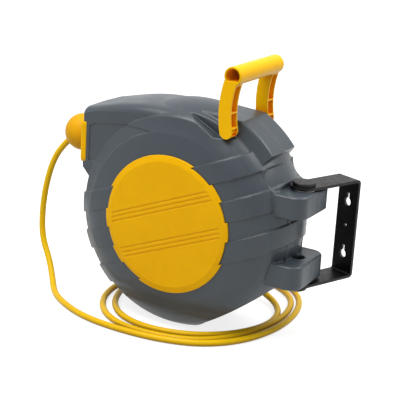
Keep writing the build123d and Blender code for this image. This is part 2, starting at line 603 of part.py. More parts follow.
# frame with four guide rollers behind the outlet
with BuildPart() as roller_frame:
    with Locations((NOSE_X + ROLLER_BOX / 2, 0, AXIS_Z + GUIDE_Z)):
        Box(ROLLER_BOX, 48, 42)
        Box(ROLLER_BOX, 43, 37, mode=Mode.SUBTRACT)
    for y, z in ((0, ROLLER_OFF), (0, -ROLLER_OFF)):
        with Locations((NOSE_X + 9, y, AXIS_Z + GUIDE_Z + z)):
            Cylinder(2, 60, rotation=(90, 0, 0), mode=Mode.SUBTRACT)
    for y in (-ROLLER_OFF, ROLLER_OFF):
        with Locations((NOSE_X + 23, y, AXIS_Z + GUIDE_Z)):
            Cylinder(2, 60, mode=Mode.SUBTRACT)
save(roller_frame, "roller_frame")

for name, drop in (("guide_roller_top", ROLLER_OFF), ("guide_roller_bottom", -ROLLER_OFF)):
    with BuildPart() as roller:
        extrude(ring(side(20.5), ROLLER_R, 2 + RUNNING, centre=(NOSE_X + 9, GUIDE_Z + drop)), amount=41)
    save(roller, name)
for name, y in (("guide_roller_near", -ROLLER_OFF), ("guide_roller_far", ROLLER_OFF)):
    with BuildPart() as roller:
        extrude(ring(level(GUIDE_Z - 17.5), ROLLER_R, 2 + RUNNING, centre=(NOSE_X + 23, y)), amount=35)
    save(roller, name)

with BuildPart() as roller_pins:
    for drop in (ROLLER_OFF, -ROLLER_OFF):
        extrude(ring(side(24), 2, centre=(NOSE_X + 9, GUIDE_Z + drop)), amount=48)
    for y in (-ROLLER_OFF, ROLLER_OFF):
        extrude(ring(level(GUIDE_Z - 21), 2, centre=(NOSE_X + 23, y)), amount=42)
save(roller_pins, "roller_pins")

# ---- cable stop ball -----------------------------------------------------------------------------
out_dir = Vector(*CORD_ROUTE[1]) - Vector(BALL_X, 0, AXIS_Z + BALL_Z)
ball_centre = (BALL_X, 0, AXIS_Z + BALL_Z)
lead_line = Plane(origin=ball_centre, z_dir=(cos(radians(LEAD_SLOPE)), 0, sin(radians(LEAD_SLOPE))))
tail_line = Plane(origin=ball_centre, z_dir=out_dir)

for name, way in (("ball_near_half", -1), ("ball_far_half", 1)):
    with BuildPart() as half:
        with BuildSketch(side(0)) as disc:
            with Locations((BALL_X, BALL_Z)):
                Circle(BALL_R)
                Rectangle(4 * BALL_R, 2 * BALL_R, align=(Align.CENTER, Align.MAX), mode=Mode.SUBTRACT)
        revolve(disc.sketch, axis=Axis(ball_centre, (-way, 0, 0)), revolution_arc=180)
        for line in (lead_line, tail_line):
            extrude(ring(line, CORD_R), amount=BALL_R + 5, mode=Mode.SUBTRACT)
        for x, z in BALL_SCREWS:
            extrude(ring(side(20), 1.6, centre=(BALL_X + x, BALL_Z + z)), amount=40, mode=Mode.SUBTRACT)
            extrude(ring(side(18), 3.2, centre=(BALL_X + x, BALL_Z + z)), amount=-20, mode=Mode.SUBTRACT)
    save(half, name)

with BuildPart() as ball_screws:
    for x, z in BALL_SCREWS:
        extrude(ring(side(18), 1.6, centre=(BALL_X + x, BALL_Z + z)), amount=32)
        extrude(ring(side(18), 3, centre=(BALL_X + x, BALL_Z + z)), amount=-2.4)
save(ball_screws, "ball_screws")

# ---- carrying handle -----------------------------------------------------------------------------
foot, grip = HANDLE_PIVOT, HANDLE_GRIP
bow = ((foot[0] + grip[0]) / 2 - LEG_BOW, (foot[1] + grip[1]) / 2)


def leg_arc(shift=0.0):
    """Centre line of a leg in a plane across the drum axis."""
    return ThreePointArc((foot[0] + shift, foot[1]), (bow[0] + shift, bow[1]), (grip[0] + shift, grip[1]))


with BuildPart() as handle:
    for y in (LEG_DEEP - HANDLE_HALF, HANDLE_HALF):
        with BuildSketch(side(y)) as leg:
            with BuildLine(mode=Mode.PRIVATE) as line:
                leg_arc()
            SlotArc(line.edge(), LEG_WIDE)
        extrude(leg.sketch, amount=LEG_DEEP)
        with BuildSketch(side(y - LEG_WALL)) as channel:
            with BuildLine(mode=Mode.PRIVATE) as line:
                leg_arc(LEG_BACK)
            SlotArc(line.edge(), LEG_WIDE)
            with Locations((foot[0] + 10, (CHANNEL[0] + CHANNEL[1]) / 2)):
                Rectangle(80, CHANNEL[1] - CHANNEL[0], mode=Mode.INTERSECT)
            for z in LEG_RIBS:
                with Locations((foot[0] + 10, z)):
                    Rectangle(80, 2, mode=Mode.SUBTRACT)
        extrude(channel.sketch, amount=LEG_DEEP - 2 * LEG_WALL, mode=Mode.SUBTRACT)
        extrude(ring(side(y), 6, centre=foot), amount=LEG_DEEP)
    for way in (-1, 1):
        extrude(ring(side(way * (HANDLE_HALF - LEG_DEEP - 1)), PIVOT_R + RUNNING, centre=foot),
                amount=-way * (LEG_DEEP - 2), mode=Mode.SUBTRACT)
    extrude(ring(side(HANDLE_HALF), GRIP_R, centre=grip), amount=2 * HANDLE_HALF)
    fillet([e for e in handle.edges() if e.geom_type == GeomType.CIRCLE and abs(e.radius - GRIP_R) < 0.01], 1)
    with BuildSketch(side(HANDLE_HALF + 1)) as bore:
        with Locations(grip):
            Circle(GRIP_BORE)
            with Locations((0, -GRIP_BORE - 7)):
                Rectangle(40, 2 * GRIP_BORE, mode=Mode.SUBTRACT)
    extrude(bore.sketch, amount=2 * HANDLE_HALF + 2, mode=Mode.SUBTRACT)
save(handle, "handle")

for name, way in (("handle_pin_near", -1), ("handle_pin_far", 1)):
    with BuildPart() as pin:
        extrude(ring(side(way * PIVOT_SEAT), PIVOT_R, centre=foot), amount=-way * PIVOT_REACH)
        extrude(ring(side(way * PIVOT_SEAT), PIVOT_HEAD, centre=foot), amount=way * 2.2)
    save(pin, name)

# ---- wall bracket --------------------------------------------------------------------------------
swing = radians(SWIVEL)
reach = Plane(origin=(PIN_X, 0, AXIS_Z), x_dir=(cos(swing), sin(swing), 0),
              z_dir=(sin(swing), -cos(swing), 0))
outward = Plane(origin=(PIN_X, 0, AXIS_Z), x_dir=(-sin(swing), cos(swing), 0),
                z_dir=(cos(swing), sin(swing), 0))
far_face = BRACKET_REACH + STRAP_THICK / 2

with BuildPart() as bracket:
    with BuildSketch(reach) as strap:
        with Locations((0, (ARM_TOP + ARM_LOW) / 2)):
            RectangleRounded(2 * far_face, ARM_TOP - ARM_LOW + 2 * STRAP_THICK, BEND + STRAP_THICK)
            RectangleRounded(2 * (far_face - STRAP_THICK), ARM_TOP - ARM_LOW, BEND, mode=Mode.SUBTRACT)
        with Locations((far_face / 2 - STRAP_WIDE / 4, 0)):
            Rectangle(far_face + STRAP_WIDE / 2, 200, mode=Mode.INTERSECT)
    extrude(strap.sketch, amount=STRAP_WIDE / 2, both=True)
    with BuildSketch(level(-100)) as plan:
        with Locations((PIN_X, 0)):
            Circle(STRAP_WIDE / 2)
            with Locations(Location((cos(swing) * 60, sin(swing) * 60), SWIVEL)):
                Rectangle(120, STRAP_WIDE)
    extrude(plan.sketch, amount=200, mode=Mode.INTERSECT)
    extrude(ring(level(-100), PIN_R, centre=(PIN_X, 0)), amount=200, mode=Mode.SUBTRACT)
    with BuildSketch(outward) as holes:
        for z in KEYHOLES:
            with Locations((0, z)):
                Circle(KEY_ROUND)
                with Locations((0, KEY_RISE / 2)):
                    Rectangle(2 * KEY_SLOT, KEY_RISE)
                with Locations((0, KEY_RISE)):
                    Circle(KEY_SLOT)
        with Locations((0, MIDDLE_HOLE_Z)):
            Circle(MIDDLE_HOLE_R)
    extrude(holes.sketch, amount=200, mode=Mode.SUBTRACT)
save(bracket, "bracket")

for name, head, way, tip in (("top_pin", ARM_TOP + STRAP_THICK, 1, TOP_LUG[0] + 0.8),
                             ("lower_pin", ARM_LOW - STRAP_THICK, -1, LOW_LUG[1] - WELL_DEPTH + 3)):
    with BuildPart() as pin:
        extrude(ring(level(head), 16, centre=(PIN_X, 0)), amount=5 * way)
        fillet(pin.edges().group_by(Axis.Z)[-1 if way > 0 else 0], 1.5)
        extrude(ring(level(head), PIN_R, centre=(PIN_X, 0)), amount=tip - head)
    save(pin, name)

for name, z in (("top_washer", TOP_LUG[1] + 0.3), ("lower_washer", LOW_LUG[0] - 2)):
    with BuildPart() as washer:
        extrude(ring(level(z), 17, PIN_R, centre=(PIN_X, 0)), amount=1.7)
    save(washer, name)

for name, z in (("top_clip", TOP_LUG[0] + SEAT_DEPTH - 1.5), ("lower_clip", LOW_LUG[1] - WELL_DEPTH + 0.3)):
    with BuildPart() as clip:
        extrude(ring(level(z), CLIP_R, PIN_R, centre=(PIN_X, 0)), amount=1.2)
    save(clip, name)

# ---- supply inlet --------------------------------------------------------------------------------
with BuildPart() as supply_gland:
    extrude(ring(side(RING_Y - 8), GLAND_R, 5, centre=GLAND_AT), amount=-GLAND_SEAT + RING_Y - 12)
    with BuildSketch(side(GLAND_SEAT)) as nut:
        with Locations(GLAND_AT):
            RegularPolygon(12, 6)
            Circle(5, mode=Mode.SUBTRACT)
    extrude(nut.sketch, amount=-6)
save(supply_gland, "supply_gland")


# ---- cord ----------------------------------------------------------------------------------------
def cord_tube(points):
    """Round cord along straight runs joined by the largest tangent arcs that the runs allow."""
    vectors = [Vector(*p) for p in points]
    radii = []
    for before, here, after in zip(vectors, vectors[1:], vectors[2:]):
        turn = radians((here - before).get_angle(after - here))
        shorter = min((here - before).length, (after - here).length)
        radii.append(0.45 * shorter / tan(turn / 2))
    print("cord radii", [round(r) for r in radii])
    with BuildPart() as made:
        with BuildLine() as line:
            FilletPolyline(*vectors, radius=radii)
        with BuildSketch(Plane(origin=line.line @ 0, z_dir=line.line % 0)) as disc:
            Circle(CORD_R)
        sweep(disc.sketch, path=line.line)
    print("cord volume", made.part.volume, "from its length", line.wire().length * pi * CORD_R ** 2)
    return made


tail = cord_tube(CORD_ROUTE)
save(tail, "cord_tail")

with BuildPart() as cord_lead:
    start = Plane(origin=ball_centre, z_dir=lead_line.z_dir)
    extrude(ring(start.offset(BALL_R - 4), CORD_R), amount=LEAD_LENGTH - BALL_R + 4)
save(cord_lead, "cord_lead")

# ---- socket on the cord's end --------------------------------------------------------------------
tip_x, tip_y, tip_z = SOCKET_TIP
SOCKET_AXIS = Axis((tip_x, tip_y, tip_z), (-1, 0, 0))
SOCKET_PLANE = Plane(origin=SOCKET_TIP, x_dir=(-1, 0, 0), z_dir=(0, 1, 0))

with BuildPart() as socket_boot:
    revolve(polygon(SOCKET_PLANE, [(0, 0), (0, 6.5), (BOOT, 9.5), (BOOT, 0)]), axis=SOCKET_AXIS)
save(socket_boot, "socket_boot")

with BuildPart() as socket_body:
    shell = [(BOOT, 0), (BOOT, 11), (BOOT + 5, 16), (BOOT + 19, 17), (BOOT + 26, SOCKET_R),
             (BOOT + 50, SOCKET_R), (BOOT + 50, 18), (BOOT + 34, 18), (BOOT + 34, 0)]
    revolve(polygon(SOCKET_PLANE, shell), axis=SOCKET_AXIS)
save(socket_body, "socket_body")

with BuildPart() as socket_insert:
    face = Plane(origin=(tip_x - BOOT - 34, tip_y, tip_z), x_dir=(0, 1, 0), z_dir=(-1, 0, 0))
    extrude(ring(face, 18), amount=2)
    with BuildSketch(face) as contacts:
        with Locations((-9.5, 0), (9.5, 0)):
            Circle(2.5)
    extrude(contacts.sketch, amount=5, mode=Mode.SUBTRACT)
save(socket_insert, "socket_insert")
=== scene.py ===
"""Looks for the self-winding extension cord reel: camera, cord, materials, small details, floor and lights."""
import json
from math import cos, pi, radians, sin
import bmesh
import bpy
from mathutils import Matrix, Vector


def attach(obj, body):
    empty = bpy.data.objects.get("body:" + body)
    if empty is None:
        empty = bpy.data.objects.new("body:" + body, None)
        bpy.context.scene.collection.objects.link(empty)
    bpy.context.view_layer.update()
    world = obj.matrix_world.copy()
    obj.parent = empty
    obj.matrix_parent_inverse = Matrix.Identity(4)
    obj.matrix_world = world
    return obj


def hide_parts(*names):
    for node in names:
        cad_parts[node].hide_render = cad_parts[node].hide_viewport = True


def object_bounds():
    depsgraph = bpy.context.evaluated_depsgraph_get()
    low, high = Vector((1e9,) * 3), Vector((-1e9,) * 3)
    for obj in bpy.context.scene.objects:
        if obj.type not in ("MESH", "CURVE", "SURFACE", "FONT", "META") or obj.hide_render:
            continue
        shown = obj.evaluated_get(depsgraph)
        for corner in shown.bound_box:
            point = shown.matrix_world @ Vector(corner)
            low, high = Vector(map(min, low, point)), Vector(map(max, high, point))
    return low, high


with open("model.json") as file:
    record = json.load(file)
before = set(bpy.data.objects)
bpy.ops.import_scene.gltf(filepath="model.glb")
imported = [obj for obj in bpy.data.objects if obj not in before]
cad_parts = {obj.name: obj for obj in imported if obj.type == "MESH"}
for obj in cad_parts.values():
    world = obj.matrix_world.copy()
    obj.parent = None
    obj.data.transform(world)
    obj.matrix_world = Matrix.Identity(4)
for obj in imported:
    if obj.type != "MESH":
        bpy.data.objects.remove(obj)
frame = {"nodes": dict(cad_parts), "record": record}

cad_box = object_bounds()
scene = bpy.context.scene

# ---- camera: the photograph's view --------------------------------------------------------------------------------
AZIMUTH, ELEVATION, ROLL = radians(28.93), radians(17.30), radians(3.37)
CAMERA_PLACE = (0.8097, -1.4469, 0.6944)
right = Vector((cos(AZIMUTH), sin(AZIMUTH), 0))
upward = Vector((-sin(AZIMUTH) * sin(ELEVATION), cos(AZIMUTH) * sin(ELEVATION), cos(ELEVATION)))
forward = Vector((-sin(AZIMUTH) * cos(ELEVATION), cos(AZIMUTH) * cos(ELEVATION), -sin(ELEVATION)))
image_right = right * cos(ROLL) + upward * sin(ROLL)
image_up = upward * cos(ROLL) - right * sin(ROLL)
turned = Matrix((image_right, image_up, -forward)).transposed().to_4x4()

camera = bpy.data.objects.new("camera", bpy.data.cameras.new("camera"))
camera.data.lens = 108
camera.data.sensor_width = 36
camera.data.clip_end = 100
camera.matrix_world = Matrix.Translation(CAMERA_PLACE) @ turned
scene.collection.objects.link(camera)
scene.camera = camera


# ---- materials: lengths in metres ---------------------------------------------------------------------------------
DRUM_CENTRE = (0, 0, 0.16)
HUMP_DIRECTION = (-0.5, 0, 0.866)
HUMP_EDGE = (0.45, 0.66)     # how far a direction points at the hump, outside it and within it
RING_EDGES = (0.100, 0.160)  # distances from the drum axis between which the rings round the covers lie
FLANK_EDGE = (0.046, 0.053)  # distances from the middle plane at which the rim ends and the flank begins
# tilt of the shading across the rings, from their inner edge at 0 to their outer edge at 1: 0.5 is none
ROUND_TILT = ((0.0, 0.36), (0.25, 0.5), (0.49, 0.82), (0.52, 0.18), (0.67, 0.5), (0.82, 0.82), (0.86, 0.18),
              (0.97, 0.5))
HUMP_TILT = ((0.0, 0.36), (0.3, 0.5), (0.49, 0.5), (0.52, 0.26), (0.67, 0.1), (0.84, 0.0), (0.88, 0.5),
             (1.0, 0.5))
TILT_STRENGTH, TILT_OUTWARD, TILT_SIDEWAYS = 0.55, 0.85, -0.5
PAINTED_SHADE_SHARE = 0.45             # painted shade in corners and gaps, as a share of the shade colour, where none is given


def srgb(red, green, blue):
    """Display values from 0 to 255 as a linear colour."""
    shares = [value / 255 for value in (red, green, blue)]
    linear = [share / 12.92 if share <= 0.04045 else ((share + 0.055) / 1.055) ** 2.4 for share in shares]
    return (*linear, 1)


class Nodes:
    """A material's node tree with short ways to add and join nodes."""

    def __init__(self, name):
        self.material = bpy.data.materials.new(name)
        self.material.use_nodes = True
        self.tree = self.material.node_tree
        self.shader = self.tree.nodes["Principled BSDF"]
        self.place = self.tree.nodes.new("ShaderNodeTexCoord").outputs["Object"]

    def add(self, kind, **settings):
        node = self.tree.nodes.new("ShaderNode" + kind)
        for key, value in settings.items():
            setattr(node, key, value)
        return node

    def join(self, start, end):
        self.tree.links.new(start, end)

    def noise(self, scale, detail, stretch=None):
        node = self.add("TexNoise")
        node.inputs["Scale"].default_value = scale
        node.inputs["Detail"].default_value = detail
        place = self.place
        if stretch:
            mapping = self.add("Mapping")
            mapping.inputs["Scale"].default_value = stretch
            self.join(place, mapping.inputs["Vector"])
            place = mapping.outputs["Vector"]
        self.join(place, node.inputs["Vector"])
        return node.outputs["Fac"]

    def ramp(self, value, *stops):
        node = self.add("ValToRGB")
        node.color_ramp.elements[0].position, node.color_ramp.elements[0].color = stops[0]
        node.color_ramp.elements[1].position, node.color_ramp.elements[1].color = stops[-1]
        for position, colour in stops[1:-1]:
            node.color_ramp.elements.new(position).color = colour
        self.join(value, node.inputs["Fac"])
        return node.outputs["Color"]

    def grey_ramp(self, value, *stops):
        """Ramp with stops of a position and a level of grey."""
        return self.ramp(value, *[(position, (level, level, level, 1)) for position, level in stops])

    def mix(self, factor, first, second, blend="MIX"):
        """Mixes two colours: they are sockets 6 and 7 of a Mix node, and its third output."""
        node = self.add("Mix", data_type="RGBA", blend_type=blend)
        for value, socket in ((factor, node.inputs[0]), (first, node.inputs[6]), (second, node.inputs[7])):
            if isinstance(value, (tuple, float)):
                socket.default_value = value
            else:
                self.join(value, socket)
        return node.outputs[2]

    def range(self, value, low, high, start=0.3, end=0.7):
        """Low where value is start, high where it is end."""
        node = self.add("MapRange")
        for socket, number in zip(node.inputs[1:5], (start, end, low, high)):
            socket.default_value = number
        self.join(value, node.inputs[0])
        return node.outputs[0]

    def bump(self, height, strength, distance, under=None):
        node = self.add("Bump")
        node.inputs["Strength"].default_value = strength
        node.inputs["Distance"].default_value = distance
        self.join(height, node.inputs["Height"])
        if under:
            self.join(under, node.inputs["Normal"])
        return node.outputs["Normal"]

    def rounded(self, radius):
        """Surface direction with the edges rounded off, and a mask of those edges."""
        bevel = self.add("Bevel", samples=6)
        bevel.inputs["Radius"].default_value = radius
        smooth = bevel.outputs["Normal"]
        return smooth, self.vector("DOT_PRODUCT", smooth, self.add("NewGeometry").outputs["Normal"])

    def math(self, operation, *values):
        node = self.add("Math", operation=operation)
        for value, socket in zip(values, node.inputs):
            if isinstance(value, (int, float)):
                socket.default_value = value
            else:
                self.join(value, socket)
        return node.outputs[0]

    def vector(self, operation, first, second=None, scale=None):
        """A vector node, whose first output is a vector and whose second is a number."""
        node = self.add("VectorMath", operation=operation)
        for value, socket in ((first, node.inputs[0]), (second, node.inputs[1]), (scale, node.inputs[3])):
            if isinstance(value, (tuple, float)):
                socket.default_value = value
            elif value:
                self.join(value, socket)
        return node.outputs[1 if operation in ("LENGTH", "DOT_PRODUCT") else 0]

    def swept_flanks(self, normal):
        """Blends the flat rings round the side covers into one swept flank, as on a soft moulding.

        The direction of the surface is tilted outward or inward with the distance from the drum axis,
        so that the rings meet without a visible step; beside the hump the outer ring lies flush.
        """
        spread = self.vector("MULTIPLY", self.vector("SUBTRACT", self.place, DRUM_CENTRE), (1, 0, 1))
        outward = self.vector("NORMALIZE", spread)
        share = self.range(self.vector("LENGTH", spread), 0.0, 1.0, *RING_EDGES)
        beside_hump = self.range(self.vector("DOT_PRODUCT", outward, HUMP_DIRECTION), 0.0, 1.0, *HUMP_EDGE)
        level = self.mix(beside_hump, self.grey_ramp(share, *ROUND_TILT), self.grey_ramp(share, *HUMP_TILT))
        tilt = self.math("SUBTRACT", level, 0.5)
        split = self.add("SeparateXYZ")
        self.join(self.place, split.inputs[0])
        side = split.outputs["Y"]
        flank = self.range(self.math("ABSOLUTE", side), 0.0, TILT_STRENGTH, *FLANK_EDGE)
        sideways = self.add("CombineXYZ")
        self.join(self.math("MULTIPLY", self.math("SIGN", side), TILT_SIDEWAYS), sideways.inputs["Y"])
        lean = self.vector("ADD", self.vector("SCALE", outward, scale=TILT_OUTWARD), sideways.outputs[0])
        turn = self.vector("SCALE", lean, scale=self.math("MULTIPLY", tilt, flank))
        return self.vector("NORMALIZE", self.vector("ADD", normal, turn))

    def hollow_shade_mask(self, reach):
        """Mask for painted shade: 1 in the open, falling to 0 in corners and gaps narrower than reach."""
        node = self.add("AmbientOcclusion", samples=6)
        node.inputs["Distance"].default_value = reach
        return node.outputs["AO"]


finishes = {}


def moulded(name, colour, shade, roughness, gloss=0.3, grain=900, depth=0.00002, edge=0.0008, wear_and_highlight=None,
            shade_reach=0.008, painted_hollow_colour=None, swept=False):
    """Moulded plastic or rubber.

    The colour drifts a little between colour and shade, takes a painted shade in corners and gaps, and turns on
    edges to a lighter colour, partly wear and partly a painted highlight. The surface has a moulded grain of that
    depth over faint sink marks, and its edges are softened over the radius edge.
    """
    nodes = Nodes(name)
    base = nodes.ramp(nodes.noise(scale=11, detail=4), (0.32, shade), (0.68, colour))
    cloud = nodes.grey_ramp(nodes.noise(scale=90, detail=3), (0.3, 0.965), (0.7, 1))
    base = nodes.mix(1.0, base, cloud, "MULTIPLY")
    normal, turn = nodes.rounded(edge)
    if swept:
        normal = nodes.swept_flanks(normal)
    # edges turn to the lighter edge colour: partly wear, partly a painted highlight
    if wear_and_highlight:
        worn_and_lit_edges = nodes.range(turn, low=1.0, high=0.0, start=0.90, end=0.995)
        patches = nodes.range(nodes.noise(scale=60, detail=5), low=0.05, high=0.55)
        base = nodes.mix(nodes.math("MULTIPLY", worn_and_lit_edges, patches), base, wear_and_highlight)
    # painted shade: corners and gaps take a colour standing in for the shade there, by default a darker shade colour
    painted_hollow = painted_hollow_colour or tuple(PAINTED_SHADE_SHARE * channel for channel in shade[:3]) + (1,)
    base = nodes.mix(nodes.range(nodes.hollow_shade_mask(shade_reach), low=0.75, high=0.0, start=0.25, end=0.95), base, painted_hollow)
    nodes.join(base, nodes.shader.inputs["Base Color"])
    handled = nodes.range(nodes.noise(scale=35, detail=4), low=roughness - 0.05, high=roughness + 0.06)
    nodes.join(handled, nodes.shader.inputs["Roughness"])
    sunk = nodes.bump(nodes.noise(scale=22, detail=2), strength=0.10, distance=0.0005, under=normal)
    grained = nodes.bump(nodes.noise(scale=grain, detail=2), strength=0.35, distance=depth, under=sunk)
    nodes.join(grained, nodes.shader.inputs["Normal"])
    nodes.shader.inputs["Specular IOR Level"].default_value = gloss
    finishes[name] = nodes.material


def metal(name, colour, shade, roughness, metallic=1.0, drawn=(1, 1, 12), wear_and_highlight=None, edge=0.0005, gloss=0.5):
    """Bare, plated or coated metal: fine marks stretched by drawn, faint stains, worn edges with painted highlight.
    """
    nodes = Nodes(name)
    base = nodes.ramp(nodes.noise(scale=30, detail=5), (0.3, shade), (0.7, colour))
    normal, turn = nodes.rounded(edge)
    # edges turn to the lighter edge colour: partly wear, partly a painted highlight
    if wear_and_highlight:
        worn_and_lit_edges = nodes.range(turn, low=1.0, high=0.0, start=0.88, end=0.995)
        patches = nodes.range(nodes.noise(scale=80, detail=5), low=0.0, high=0.8)
        base = nodes.mix(nodes.math("MULTIPLY", worn_and_lit_edges, patches), base, wear_and_highlight)
    nodes.join(base, nodes.shader.inputs["Base Color"])
    streaks = nodes.noise(scale=160, detail=3, stretch=drawn)
    nodes.join(nodes.range(streaks, low=roughness - 0.07, high=roughness + 0.09), nodes.shader.inputs["Roughness"])
    marks = nodes.noise(scale=700, detail=2, stretch=drawn)
    marked = nodes.bump(marks, strength=0.25, distance=0.00003, under=normal)
    nodes.join(marked, nodes.shader.inputs["Normal"])
    nodes.shader.inputs["Metallic"].default_value = metallic
    nodes.shader.inputs["Specular IOR Level"].default_value = gloss
    finishes[name] = nodes.material


# Every finish below gets painted shade in corners and gaps, and edges partly worn, partly painted highlight.
moulded("housing_grey", srgb(57, 66, 73), srgb(52, 61, 68), 0.34, gloss=0.5, grain=1400, depth=0.00003,
        edge=0.003, wear_and_highlight=srgb(116, 122, 127), swept=True)
# cover: its grooves take a lighter yellow, a painted light that lifts the real shade in them
moulded("cover_yellow", srgb(250, 188, 0), srgb(246, 182, 0), 0.34, gloss=0.10, depth=0.00001,
        edge=0.0012, wear_and_highlight=srgb(255, 214, 60), shade_reach=0.006, painted_hollow_colour=srgb(255, 200, 10))
# handle: its hollows take a painted deep orange shade, standing in for shade and light through the plastic there
moulded("handle_yellow", srgb(255, 196, 0), srgb(254, 190, 0), 0.30, gloss=0.10, depth=0.00001,
        edge=0.001, wear_and_highlight=srgb(255, 220, 60), shade_reach=0.014, painted_hollow_colour=srgb(255, 120, 0))
moulded("ball_yellow", srgb(228, 168, 8), srgb(222, 160, 4), 0.45, gloss=0.12, edge=0.0006,
        wear_and_highlight=srgb(250, 206, 80))
moulded("cord_yellow", srgb(240, 194, 4), srgb(234, 186, 2), 0.36, gloss=0.18, grain=1200, depth=0.00001,
        edge=0.0002, shade_reach=0.012, painted_hollow_colour=srgb(150, 96, 0))
moulded("inner_cord", srgb(214, 168, 24), srgb(200, 155, 20), 0.5)
metal("black_paint", srgb(5, 5, 6), srgb(3, 3, 4), 0.40, metallic=0.0, drawn=(1, 1, 1),
      wear_and_highlight=srgb(44, 44, 46), gloss=0.3)
metal("zinc_steel", srgb(188, 190, 192), srgb(168, 170, 172), 0.34)
moulded("black_plastic", srgb(34, 34, 36), srgb(28, 28, 30), 0.5)
moulded("drum_black", srgb(46, 46, 48), srgb(40, 40, 42), 0.5)
moulded("white_acetal", srgb(228, 226, 216), srgb(218, 216, 206), 0.4)
metal("spring_steel", srgb(120, 124, 134), srgb(96, 102, 116), 0.3)
metal("brass", srgb(206, 168, 92), srgb(190, 150, 78), 0.28)
moulded("carbon", srgb(46, 46, 48), srgb(36, 36, 38), 0.6)
moulded("socket_rubber", srgb(38, 38, 39), srgb(30, 30, 31), 0.55, grain=1100, depth=0.00004,
        wear_and_highlight=srgb(66, 66, 68))
moulded("socket_face", srgb(60, 61, 64), srgb(52, 53, 56), 0.4)

for entry in frame["record"]["subparts"]:
    node = frame["nodes"][entry["node"]]
    node.data.materials.clear()
    node.data.materials.append(finishes[entry["material_slot"]])


# ---- free cord: from the stop ball to the floor, in loops round the foot, and up to the socket --------------------
LYING = 0.00475  # the cord's radius, and so the height of its middle where it lies on the floor
DROP = [
    (-0.2203, 0, 0.2307), (-0.2385, 0, 0.2130), (-0.2530, -0.002, 0.185), (-0.2625, -0.005, 0.144),
    (-0.2655, -0.008, 0.100), (-0.2605, -0.012, 0.065), (-0.2405, -0.021, 0.038), (-0.2230, -0.036, 0.0170),
]
LOOPS = [
    (-0.200, -0.062), (-0.166, -0.087), (-0.118, -0.110), (-0.060, -0.1195), (0.012, -0.1165), (0.074, -0.096),
    (0.116, -0.052), (0.137, 0.008), (0.139, 0.076), (0.121, 0.140), (0.080, 0.186), (0.018, 0.206),
    (-0.048, 0.198), (-0.102, 0.162), (-0.135, 0.106), (-0.1420, 0.040), (-0.1345, -0.024), (-0.101, -0.078),
    (-0.048, -0.107), (0.014, -0.106), (0.069, -0.086), (0.105, -0.041), (0.1245, 0.022), (0.126, 0.084),
    (0.106, 0.140), (0.062, 0.176), (0.004, 0.189), (-0.054, 0.179), (-0.104, 0.142), (-0.130, 0.088),
    (-0.1300, 0.028), (-0.109, -0.037), (-0.069, -0.078), (-0.012, -0.0920), (0.050, -0.076), (0.097, -0.036),
    (0.121, 0.018), (0.118, 0.068),
]
RISE = [(0.096, 0.104, 0.006), (0.063, 0.122, 0.012), (0.037, 0.127, 0.022), (0.010, 0.127, 0.022)]
ROUTE = DROP + [(x, y, LYING) for x, y in LOOPS] + RISE

curve = bpy.data.curves.new("free_cord", "CURVE")
curve.dimensions = "3D"
curve.bevel_depth = LYING
curve.bevel_resolution = 8
curve.use_fill_caps = True
spline = curve.splines.new("NURBS")
spline.points.add(len(ROUTE) - 1)
for point, place in zip(spline.points, ROUTE):
    point.co = (*place, 1)
spline.order_u = 3
spline.use_endpoint_u = True
spline.resolution_u = 10
free_cord = bpy.data.objects.new("free_cord", curve)
free_cord.data.materials.append(finishes["cord_yellow"])
scene.collection.objects.link(free_cord)
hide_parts("cord_tail")
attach(free_cord, "housing")

# ---- cable outlet: its flange grips the front edge of the nose, with a collar for the stop ball --------------------
COLLAR_Z, BORE = 0.2475, 0.0142
FLANGE_LOW, FLANGE_HIGH, FLANGE_CORNER, FLANGE_BACK = 0.2165, 0.2810, 0.006, -0.1530
# plate from back to front: x, half width, and how far its upper and lower edges are drawn in
PLATE = ((FLANGE_BACK, 0.0560, 0), (-0.1534, 0.0567, 0), (-0.1540, 0.0570, 0), (-0.1605, 0.0570, 0),
         (-0.1615, 0.0567, 0.0003), (-0.1622, 0.0560, 0.0010), (-0.1625, 0.0550, 0.0020))
# collar from its foot over its rounded rim and into the bore: x and radius
COLLAR = ((-0.1625, 0.0245), (-0.1630, 0.0232), (-0.1645, 0.0223), (-0.1705, 0.0219), (-0.1718, 0.0213),
          (-0.1724, 0.0200), (-0.1724, 0.0170), (-0.1720, 0.0158), (-0.1700, BORE))
LOOP_POINTS = 128


def closed_band(name, loops, capped=False):
    """Closed mesh through loops of equal length: the last joins the first again, or each end gets a flat cap."""
    made = bmesh.new()
    rings = [[made.verts.new(point) for point in loop] for loop in loops]
    count = len(loops[0])
    if capped:
        made.faces.new(rings[0])
        made.faces.new(rings[-1])
    for first, second in zip(rings, rings[1:] if capped else rings[1:] + rings[:1]):
        for i in range(count):
            made.faces.new((first[i], first[(i + 1) % count], second[(i + 1) % count], second[i]))
    bmesh.ops.recalc_face_normals(made, faces=made.faces)
    for face in made.faces:
        face.smooth = not capped
    target = bpy.data.meshes.new(name)
    made.to_mesh(target)
    made.free()
    thing = bpy.data.objects.new(name, target)
    scene.collection.objects.link(thing)
    return thing


def directions():
    """Directions of a loop's points from its middle, the same for every loop."""
    turns = [2 * pi * (i + 0.5) / LOOP_POINTS for i in range(LOOP_POINTS)]
    return [(cos(turn), sin(turn)) for turn in turns]


def round_loop(x, radius):
    """Circle at x round the middle of the collar."""
    return [(x, radius * side, COLLAR_Z + radius * up) for side, up in directions()]


